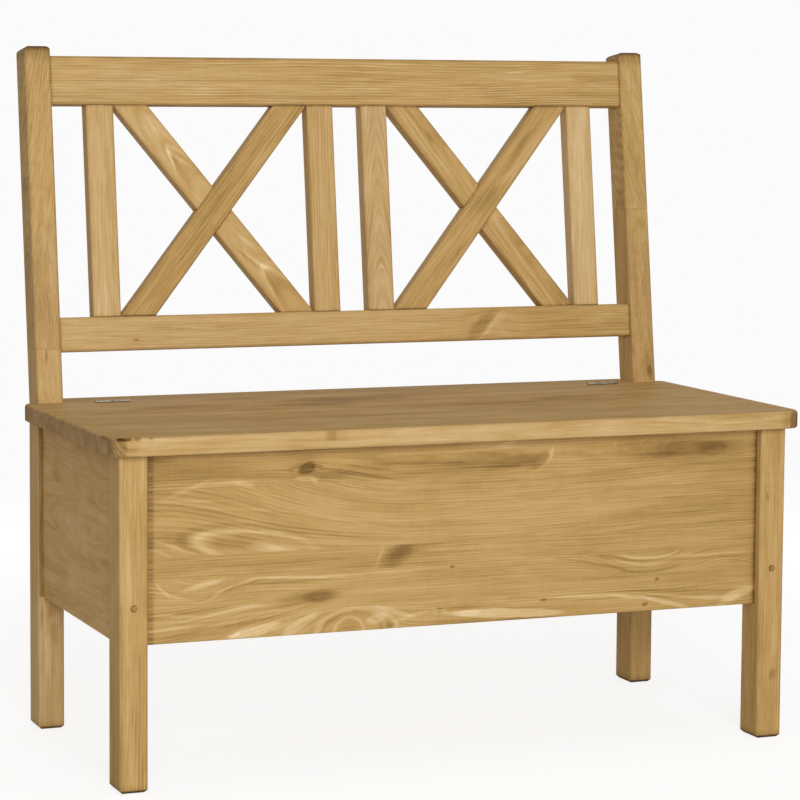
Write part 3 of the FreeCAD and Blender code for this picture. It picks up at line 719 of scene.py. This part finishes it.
TOP_MARKS = (
    (-370, 95, 70, 12, 0, 0.7, -0.12), (-190, 101, 24, 9, 0, 0.8, 0.08), (-192, 84, 26, 6, 0, 0.8, -0.12),
    (-70, 86, 80, 11, 0, 0.7, -0.07), (-152, 85, 56, 1.9, -11, 0.6, -0.13),
    (-150, 94, 58, 1.9, -9, 0.6, -0.11), (-60, 95, 70, 2.0, -2, 0.6, -0.09),
    (44, 94, 68, 14, 0, 0.35, -0.14), (70, 90, 34, 8, 8, 0.5, -0.13), (109, 93, 19, 9, 38, 0.3, -0.13),
    (129, 101, 2.4, 9, -6, 0.5, 0.14), (310, 101, 92, 13, -3, 0.6, -0.16), (375, 97, 20, 10, 0, 0.3, -0.08),
    (225, 97, 22, 2.6, 0, 0.6, -0.08), (300, 92, 60, 2.6, 0, 0.6, -0.08), (190, 88, 20, 2.6, 0, 0.6, -0.10),
    (222, 109, 5, 1.5, 50, 0.5, 0.10), (266, 112, 6, 1.5, 40, 0.5, 0.08), (304, 110, 6, 1.5, 50, 0.5, 0.08),
    (62, 116, 16, 3.4, 12, 0.4, 0.12))
TOP_LOOPS = ((112, 92, 20, 10, 40, 2.5, 0.07),)


def over(value, level):
    """1 above a level and 0 below it."""
    return smooth(value, level - 0.2, level + 0.2)


def under(value, level):
    """1 below a level and 0 above it."""
    return smooth(value, level + 0.2, level - 0.2)


def front_panel_wood():
    first, second, third = GLUE_LINES
    wood = Board("front_panel", place(0, FRONT_PANEL_Y, PANEL_MID_Z), X_AXIS, Z_AXIS, 71, pith=(-600.0, 80.0),
                 spacing=4.0, wander=2.4,
                 staves=((first, 41.0, 0.0, 0.0), (second, 67.0, 0.0, 0.0), (third, 93.0, 0.0, -0.03)))
    u, v = wood.u, wood.v
    top = over(v, third)
    wide = over(v, second) * under(v, third)
    bottom = under(v, first)
    flat = wood.face()

    # The wide board: lines that fall to the right, and loops at the lower left
    wood.lift(wide * (smooth(u, -440, -60) * 46 - smooth(u, 60, 440) * 9))
    wood.lift(wide * (v - 34) * smooth(u, -80, -360) * -0.42)
    wood.stronger(wide * smooth(u, -60, -200) * 0.25)
    wood.shade(wide * smooth(u, -190, -250) * wood.loops(flat, WIDE_LOOPS))
    wood.shade(wide * wood.marks(flat, WIDE_MARKS))

    # The narrow board: plain, with one dark smear across it
    narrow = over(v, first) * under(v, second)
    wood.shade(narrow * wood.marks(flat, NARROW_MARKS))

    # The bottom board: waves at both ends, flames and arches along its lower edge
    wood.lift(bottom * (v + 75) * smooth(u, -120, -360) * -0.30)
    wood.lift(bottom * hill(u, v, -366, -40, 46, 22) * 20)
    wood.lift(bottom * smooth(u, -450, -150) * smooth(v, -62, -88) * -28)
    for *shape, rise in ((-161, -124, 50, 25, -38), (262, -34, 60, 30, 24), (395, -58, 48, 26, -12)):
        wood.lift(bottom * hill(u, v, *shape) * rise)
    wood.stronger(bottom * (smooth(u, -230, -330) + smooth(u, 90, 190)) * 0.35)
    wood.stronger(smooth(v, -98, -105) * smooth(u, -350, -320) * smooth(u, -80, -110) * -0.8)
    bowed = wood.face(bow=0.0036, middle=276)
    wood.shade(bottom * wood.marks(bowed, BOWED_MARKS))
    wood.shade(bottom * wood.marks(flat, WAVES))
    wood.shade(bottom * wood.marks(flat, FLAMES + DOTS))
    wood.shade(bottom * wood.loops(flat, ARCHES))
    wood.knot(-104.5, -117.5, 6.2, 4.6, depth=0.8, halo=1.6)

    # The top board: a knot, dark smears and a paler strip along its edge
    wood.lift(top * smooth(u, -215, -110) * smooth(v, 112, 90) * 14)
    wood.knot(-222, 95.5, 11.0, 6.5, pull=0.9, turn=20)
    wood.shade(wood.marks(flat, GLUE_LINE_MARKS))
    wood.shade(top * wood.marks(flat, TOP_MARKS))
    wood.shade(top * wood.loops(flat, TOP_LOOPS))
    wood.shade(top * smooth(v, 108.2, 109.4) * smooth(u, -30, 40) * 0.08)
    wood.shade(smooth(u, 60, 436) * -0.045 + smooth(u, -300, -440) * smooth(v, 20, 90) * -0.055)

    # A painted shadow of the left leg on the recessed panel, notched by the lines that run into it
    notches = noise(wood.ring / 3.0, v / 9, 2.0)
    wood.shade(smooth(u, -427.0, -433.5) * (smooth(notches, 0.35, 0.62) * -0.12 - 0.11))
    # Painted shade in the corner at the right leg, and a painted shadow under the overhang of the seat
    ends = [(place(LEG_INNER_X, 0, 0), X_AXIS, 3.0, 0.60), (place(0, 0, SEAT_UNDERSIDE), Z_AXIS, 5.0, 0.16)]
    put_on("front_panel", wood.finish(tone=0.565, raw_side=Y_AXIS, seams=ends, contrast=1.05))


# The other walls of the box
def side_panel_wood():
    ends = [(place(0, REAR_POST_FRONT, 0), Y_AXIS, 3.2, 0.50), (place(0, LEG_BACK, 0), Y_AXIS, 2.2, 0.30),
            (place(0, 0, SEAT_UNDERSIDE), Z_AXIS, 4.0, 0.20)]
    for side, node, seed in ((-1, "side_panel_left", 81), (1, "side_panel_right", 87)):
        wood = Board(node, place(side * SIDE_PANEL_X, SIDE_PANEL_Y, PANEL_MID_Z), Y_AXIS, Z_AXIS, seed,
                     pith=(40.0, 90.0), taper=0.01, wander=6.0,
                     staves=((-35.0, 33.0, 18.0, 0.01), (48.0, -51.0, 9.0, -0.01)))
        # Painted light: a lighter tone and warmer colours stand in for the warm light that fills the shade of
        # these sides
        put_on(node, wood.finish(tone=0.64, raw_side=X_AXIS * -side, seams=ends, mottle=2.0, palette=WARMER))
    wood = Board("back_panel", place(0, BACK_PANEL_Y, PANEL_MID_Z), X_AXIS, Z_AXIS, 93, pith=(50.0, 120.0),
                 taper=0.005, wander=6.0,
                 staves=((-40.0, 37.0, 14.0, 0.01), (42.0, -58.0, 9.0, -0.01)))
    put_on("back_panel", wood.finish(tone=0.56, raw_side=-Y_AXIS))


# The seat: glued boards too, with patches and a knot where the photograph shows them. Here u counts from the
# middle of the bench and v from SEAT_MID_Y.
SEAT_WAX = {"roughness": 0.62, "gloss": 0.02}
SEAT_MARKS = (
    (-299, 112, 62, 24, 0, 0.8, -0.20), (-185, 204, 60, 20, 4, 0.8, -0.15),
    (-60, 139, 90, 26, 3, 0.8, -0.22), (-130, 85, 60, 20, 0, 0.8, -0.17), (70, 181, 80, 22, 0, 0.8, -0.14),
    (150, 20, 160, 16, 2, 0.8, -0.12), (-300, -150, 110, 14, 0, 0.8, 0.07),
    (20, -140, 200, 16, 0, 0.8, 0.06), (-150, -60, 170, 10, 0, 0.8, -0.11),
    (300, 60, 80, 12, 0, 0.8, -0.10), (330, -60, 60, 10, 0, 0.8, 0.07), (-20, 190, 120, 10, 0, 0.8, 0.07),
    (-240, 30, 120, 9, 0, 0.8, 0.07), (210, 130, 120, 10, 2, 0.8, 0.06))
SEAT_FRONT_MARKS = (
    (-201, -200, 7, 14, 0, 0.7, -0.22), (-187, -200, 9, 14, 0, 0.8, -0.08),
    (120, -200, 40, 14, 0, 0.8, -0.07))
SEAT_CORNER_MARKS = (
    (-478, -198, 10, 9, 0, 0.3, -0.42), (-461, -200, 4, 9, 0, 0.3, -0.30), (-444, -200, 3, 9, 0, 0.3, -0.2))


def seat_wood():
    wood = Board("seat_board", place(0, SEAT_MID_Y, SEAT_MID_Z), X_AXIS, Y_AXIS, 101, pith=(60.0, -90.0),
                 spacing=3.8, taper=0.006, wander=6.0,
                 staves=((-120.0, 43.0, 20.0, 0.01), (-20.0, -71.0, 15.0, -0.012), (85.0, 52.0, -22.0, 0.008)))
    front = smooth(wood.facing(-Y_AXIS), 0.35, 0.85)
    above = smooth(wood.facing(Z_AXIS), 0.6, 0.95)
    wood.shade(front * 0.06 + front * smooth(wood.u, 100, 420) * -0.03)
    flat = wood.face()
    wood.shade(above * wood.marks(flat, SEAT_MARKS))
    wood.knot(224, 59, 21, 8, depth=0.55, pull=0.8)
    upper = smooth(wood.w, -5, 4)
    wood.shade(front * upper * wood.marks(flat, SEAT_FRONT_MARKS))

    # The rounded front corners, and the dark patch on the left one
    sideways = wood.facing(X_AXIS).math("ABSOLUTE")
    rounded = smooth(sideways, 0.10, 0.30) * smooth(sideways, 0.99, 0.9) * smooth(wood.v, -150, -160)
    corner = smooth(wood.u.math("ABSOLUTE"), 455, 470) * front
    wood.shade(corner * -0.13 + rounded * -0.20)
    wood.shade(smooth(wood.w, 7.5, 9.5) * smooth(wood.v, -190, -194) * wood.marks(flat, SEAT_CORNER_MARKS))
    put_on("lid", wood.finish(tone=0.585, cool=0.35, mottle=1.9, **SEAT_WAX))
    wood = Board("hinge_rail", place(0, HINGE_RAIL_Y, SEAT_MID_Z), X_AXIS, Y_AXIS, 107, pith=(60.0, -60.0),
                 spacing=3.8, taper=0.006, wander=6.0)
    put_on("hinge_rail", wood.finish(tone=0.54, cool=0.3, **SEAT_WAX))


# Unwaxed wood inside the box and under the seat, and the pegs
def inner_wood():
    for side, node in ((-1, "lid_batten_left"), (1, "lid_batten_right")):
        wood = Board(node, place(side * BATTEN_X, 205, 427), Y_AXIS, X_AXIS, 111 + side, pith=(50.0, 40.0))
        put_on(node, wood.finish(tone=0.58, palette=RAW))
    wood = Board("box_floor", place(0, BOX_FLOOR_Y, BOX_FLOOR_Z), X_AXIS, Y_AXIS, 121, pith=(40.0, 80.0),
                 staves=((-100.0, 40.0, 10.0, 0.02), (0.0, -60.0, 10.0, -0.02), (90.0, 50.0, -10.0, 0.01)))
    put_on("box_floor", wood.finish(tone=0.58, palette=RAW))
    for node, along, x, y in (("floor_cleat_front", X_AXIS, 0, 42), ("floor_cleat_rear", X_AXIS, 0, 412),
                              ("floor_cleat_left", Y_AXIS, -445, 223), ("floor_cleat_right", Y_AXIS, 445, 223)):
        wood = Board(node, place(x, y, 202), along, Z_AXIS, 131 + x / 10 + y / 100, pith=(40.0, 30.0))
        put_on(node, wood.finish(tone=0.58, palette=RAW))
    wood = Board("leg_pegs", place(0, 20, PEG_Z), Y_AXIS, Z_AXIS, 141, pith=(14.0, 30.0), spacing=1.4)
    away = wood.w.math("ABSOLUTE") - LEG_X
    rim = (away * away + wood.v * wood.v).math("SQRT")
    wood.shade(smooth(rim, 2.6, 4.3) * -0.26)
    put_on("leg_pegs", wood.finish(tone=0.45, ends=0.06, dust=0.0))


# Metal
def plated(name, base, dull):
    """Nickel plate, worn dull in clouds and finely scratched."""
    material, shader, coords = new_material(name)
    u, v, w = (dot(coords.outputs["Object"], axis * MM) for axis in (X_AXIS, Y_AXIS, Z_AXIS))
    cloud = noise(u / 4, v / 4, w / 4, detail=4.0)
    scratch = noise(u / 9, v / 0.35, w / 0.35)
    worn = smooth(cloud, 0.42, 0.66)
    join(blend_colour(worn, base, dull), shader.inputs["Base Color"])
    shader.inputs["Metallic"].default_value = 1.0
    join(worn * 0.22 + scratch * 0.16 + 0.20, shader.inputs["Roughness"])
    add_bump(shader, scratch * 0.6 + cloud * 0.4, 0.05, 0.4)
    return material


def metal():
    hinge = plated("hinge_metal", srgb(158, 150, 132), srgb(104, 92, 70))
    for side in ("left", "right"):
        for part in ("fixed_leaf", "moving_leaf", "pin"):
            put_on("hinge_%s_%s" % (side, part), hinge)


# Screws: shares of the radius of a head with a cross recess, then sizes and places in millimetres
HEAD_SIDES = 24
HEAD_RIM_SHARE = 0.80
CROSS_ARM_SHARE = 0.55
CROSS_HALF_WIDTH_SHARE = 0.13
CROSS_DEPTH_SHARE = 0.38
CROSS_FLOOR_SHARE = 0.7
SHANK_SHARE = 0.50
LEAF_THICKNESS = 1.5
HINGE_SCREW = {"radius": 3.4, "dome": 0.0, "sink": LEAF_THICKNESS - 0.1}
WOOD_SCREW = {"radius": 3.6, "dome": 0.7, "sink": 0.8}
HINGES_X = (-376.0, 384.5)
HINGE_SCREW_REACH = 14.0
HINGE_SCREW_Z = 450.0
HINGE_FACE = 0.4
BATTEN_UNDERSIDE = 418.0
BATTEN_SCREWS_Y = (85.0, 205.0, 325.0)
CLEAT_MID_Z = 202.3
FRONT_CLEAT_FACE = 51.75
REAR_CLEAT_FACE = 402.45
SIDE_CLEAT_FACE = 435.55
LONG_CLEAT_SCREWS_X = (-361.0, 0.0, 361.0)
SHORT_CLEAT_SCREWS_Y = (131.0, 316.0)


def screw_head(mesh, centre, out, radius, dome, sink):
    """A head whose rim lies at the centre point: domed outwards, with a cone sunk into the wood."""
    side = out.orthogonal().normalized()
    other = out.cross(side)

    def point(across, along, up):
        return mesh.verts.new(centre + (side * across + other * along + out * up) / MM)

    def ring(reach, up):
        turns = [2 * math.pi * index / HEAD_SIDES for index in range(HEAD_SIDES)]
        return [point(reach * math.cos(t), reach * math.sin(t), up) for t in turns]

    def bridge(first, second):
        for index in range(len(first)):
            after = (index + 1) % len(first)
            mesh.faces.new((first[index], first[after], second[after], second[index]))

    w = radius * CROSS_HALF_WIDTH_SHARE
    a = radius * CROSS_ARM_SHARE
    plus = [(a, -w), (a, w), (w, w), (w, a), (-w, a), (-w, w), (-a, w), (-a, -w), (-w, -w), (-w, -a),
            (w, -a), (w, -w)]
    rim = ring(radius, 0)
    crown = ring(radius * HEAD_RIM_SHARE, dome)
    tip = ring(radius * SHANK_SHARE, -sink)
    mouth = [point(x, y, dome) for x, y in plus]
    deep = dome - radius * CROSS_DEPTH_SHARE
    floor = [point(x * CROSS_FLOOR_SHARE, y * CROSS_FLOOR_SHARE, deep) for x, y in plus]
    bridge(tip, rim)
    bridge(rim, crown)
    bridge(mouth, floor)
    mesh.faces.new(floor)
    mesh.faces.new(list(reversed(tip)))
    mesh.edges.ensure_lookup_table()
    flat_edges = [mesh.edges.get((loop[index - 1], loop[index])) for loop in (crown, mouth)
                  for index in range(len(loop))]
    bmesh.ops.triangle_fill(mesh, use_beauty=True, use_dissolve=False, edges=flat_edges, normal=out)


def screws(name, body, material, heads, size):
    """One piece of several screws that ride on a body. Heads are (centre, outwards)."""
    mesh = bmesh.new()
    for centre, out in heads:
        screw_head(mesh, centre, out, **size)
    bmesh.ops.recalc_face_normals(mesh, faces=mesh.faces)
    data = bpy.data.meshes.new(name)
    mesh.to_mesh(data)
    mesh.free()
    data.materials.append(material)
    thing = add_object(name, data)
    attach(thing, body)


def all_screws():
    plate = plated("screw_metal", srgb(176, 168, 148), srgb(128, 114, 90))
    for side, name, body in ((1, "hinge_screws_rail", "frame"), (-1, "hinge_screws_lid", "lid")):
        heads = [(place(x + step, SEAM_Y + side * (HINGE_FACE + 0.06), HINGE_SCREW_Z), Y_AXIS * -side)
                 for x in HINGES_X for step in (-HINGE_SCREW_REACH, HINGE_SCREW_REACH)]
        screws(name, body, plate, heads, HINGE_SCREW)
    under_lid = [(place(side * BATTEN_X, y, BATTEN_UNDERSIDE - 0.05), -Z_AXIS)
                 for side in (-1, 1) for y in BATTEN_SCREWS_Y]
    screws("batten_screws", "lid", plate, under_lid, WOOD_SCREW)
    inside = [(place(x, FRONT_CLEAT_FACE, CLEAT_MID_Z), Y_AXIS) for x in LONG_CLEAT_SCREWS_X]
    inside += [(place(x, REAR_CLEAT_FACE, CLEAT_MID_Z), -Y_AXIS) for x in LONG_CLEAT_SCREWS_X]
    inside += [(place(side * SIDE_CLEAT_FACE, y, CLEAT_MID_Z), X_AXIS * -side)
               for side in (-1, 1) for y in SHORT_CLEAT_SCREWS_Y]
    screws("cleat_screws", "frame", plate, inside, WOOD_SCREW)


# The room: a pale floor that keeps the shadow, a white surround, and soft lamps
PURE = (1.0, 1.0, 1.0, 1.0)
WHITE = 0.965
SURROUND_LIGHT = 0.30
SURROUND_COLOUR = (1.0, 0.97, 0.86, 1.0)
FLOOR_HALF = 40.0
FLOOR_FADE = (0.9, 2.6)
FLOOR_GLOW = 0.80
FLOOR_COLOUR = (0.78, 0.78, 0.78, 1.0)
FLOOR_SEEN = (0.30, 0.30, 0.30, 1.0)


def make_floor():
    """A floor that glows nearly white to the camera, and turns into the surround further out."""
    mesh = bpy.data.meshes.new("studio_floor")
    half = FLOOR_HALF
    corners = [(-half, -half, 0), (half, -half, 0), (half, half, 0), (-half, half, 0)]
    mesh.from_pydata(corners, [], [(0, 1, 2, 3)])
    floor = add_object("studio_floor", mesh)
    material = bpy.data.materials.new("pale_floor")
    tree = empty_tree(material)
    output = new_node(tree, "OutputMaterial", {})
    matt = new_node(tree, "BsdfDiffuse", {})
    glow = new_node(tree, "Emission", {"Color": PURE})
    path = new_node(tree, "LightPath", {})
    coords = new_node(tree, "TexCoord", {})
    x, y = (dot(coords.outputs["Object"], axis) for axis in (X_AXIS, Y_AXIS))
    far = smooth((x * x + y * y).math("SQRT"), *FLOOR_FADE)
    seen = Wire(path.outputs["Is Camera Ray"])
    join(blend_colour(seen, FLOOR_COLOUR, FLOOR_SEEN), matt.inputs["Color"])
    join(seen * (far * (WHITE - FLOOR_GLOW) + FLOOR_GLOW), glow.inputs["Strength"])
    near = new_node(tree, "AddShader", {0: matt.outputs[0], 1: glow.outputs[0]})
    floor_shader = new_node(tree, "MixShader", {1: near.outputs[0]})
    pure = new_node(tree, "Emission", {"Color": PURE, "Strength": WHITE})
    join(pure.outputs[0], floor_shader.inputs[2])
    join(far * seen, floor_shader.inputs["Fac"])
    join(floor_shader.outputs[0], output.inputs["Surface"])
    mesh.materials.append(material)


def make_world():
    """White where it is seen or mirrored, and a low warm light on everything else."""
    world = bpy.data.worlds.new("surround")
    bpy.context.scene.world = world
    tree = empty_tree(world)
    output = new_node(tree, "OutputWorld", {})
    background = new_node(tree, "Background", {})
    path = new_node(tree, "LightPath", {})
    camera, glossy, through = (Wire(path.outputs["Is %s Ray" % kind])
                               for kind in ("Camera", "Glossy", "Transmission"))
    seen = (camera + glossy + through).math("MINIMUM", 1.0)
    join(blend_colour(seen, SURROUND_COLOUR, PURE), background.inputs["Color"])
    join(seen * (WHITE - SURROUND_LIGHT) + SURROUND_LIGHT, background.inputs["Strength"])
    join(background.outputs[0], output.inputs["Surface"])


def from_front(azimuth, elevation):
    """The direction at an azimuth from the front (to the right is above zero) and an elevation, in radians."""
    return Vector((math.sin(azimuth) * math.cos(elevation), -math.cos(azimuth) * math.cos(elevation),
                   math.sin(elevation)))


def lamp(name, power, width, height, azimuth, elevation, distance, aim=Vector((0, 0, 0.5)), mirrored=True):
    """A soft box in watts and metres, with its angles in degrees."""
    data = bpy.data.lights.new(name, "AREA")
    data.shape = "RECTANGLE"
    data.size = width
    data.size_y = height
    data.energy = power
    way = from_front(math.radians(azimuth), math.radians(elevation))
    thing = add_object(name, data)
    thing.location = aim + way * distance
    thing.rotation_euler = (-way).to_track_quat("-Z", "Y").to_euler()
    thing.visible_glossy = mirrored


def make_lamps():
    """The back lamp lies low behind the bench. It isn't mirrored, or the seat would shine."""
    lamp("key", power=240, width=3.0, height=2.6, azimuth=-14, elevation=14, distance=6.0)
    lamp("overhead", power=12, width=3.0, height=2.0, azimuth=20, elevation=80, distance=3.5)
    lamp("fill", power=16, width=3.0, height=2.5, azimuth=160, elevation=25, distance=4.5)
    lamp("back", power=55, width=3.0, height=0.9, azimuth=178, elevation=0, distance=4.5,
         aim=Vector((0, 0, 0.45)), mirrored=False)


# The camera: fitted to the photograph's edges, with the image taken as 800 by 800
IMAGE_SIDE = 800.0
SENSOR = 36.0
CAMERA_AZIMUTH = -22.025
CAMERA_ELEVATION = 5.047
CAMERA_ROLL = 0.418
CAMERA_PLACE = Vector((-1.51067, -3.73571, 0.9103))
FOCAL_PIXELS = 2892.70
CAMERA_SHIFT_Y = -0.08
CAMERA_FAR = 200.0


def make_camera():
    azimuth, elevation, roll = (math.radians(x) for x in (CAMERA_AZIMUTH, CAMERA_ELEVATION, CAMERA_ROLL))
    back = from_front(azimuth, elevation)
    right = Vector((math.cos(azimuth), math.sin(azimuth), 0))
    up = back.cross(right)
    rolled_right = right * math.cos(roll) + up * math.sin(roll)
    rolled_up = up * math.cos(roll) - right * math.sin(roll)
    data = bpy.data.cameras.new("camera")
    data.sensor_width = SENSOR
    data.lens = FOCAL_PIXELS * SENSOR / IMAGE_SIDE
    data.shift_y = CAMERA_SHIFT_Y
    data.clip_end = CAMERA_FAR
    thing = add_object("camera", data)
    turn = Matrix((rolled_right, rolled_up, back)).transposed()
    thing.matrix_world = Matrix.Translation(CAMERA_PLACE) @ turn.to_4x4()
    bpy.context.scene.camera = thing


bpy.context.scene.view_settings.view_transform = "Standard"
rail_wood()
slat_wood()
cross_wood()
post_wood()
front_panel_wood()
side_panel_wood()
seat_wood()
inner_wood()
metal()
all_screws()
make_floor()
make_world()
make_lamps()
make_camera()
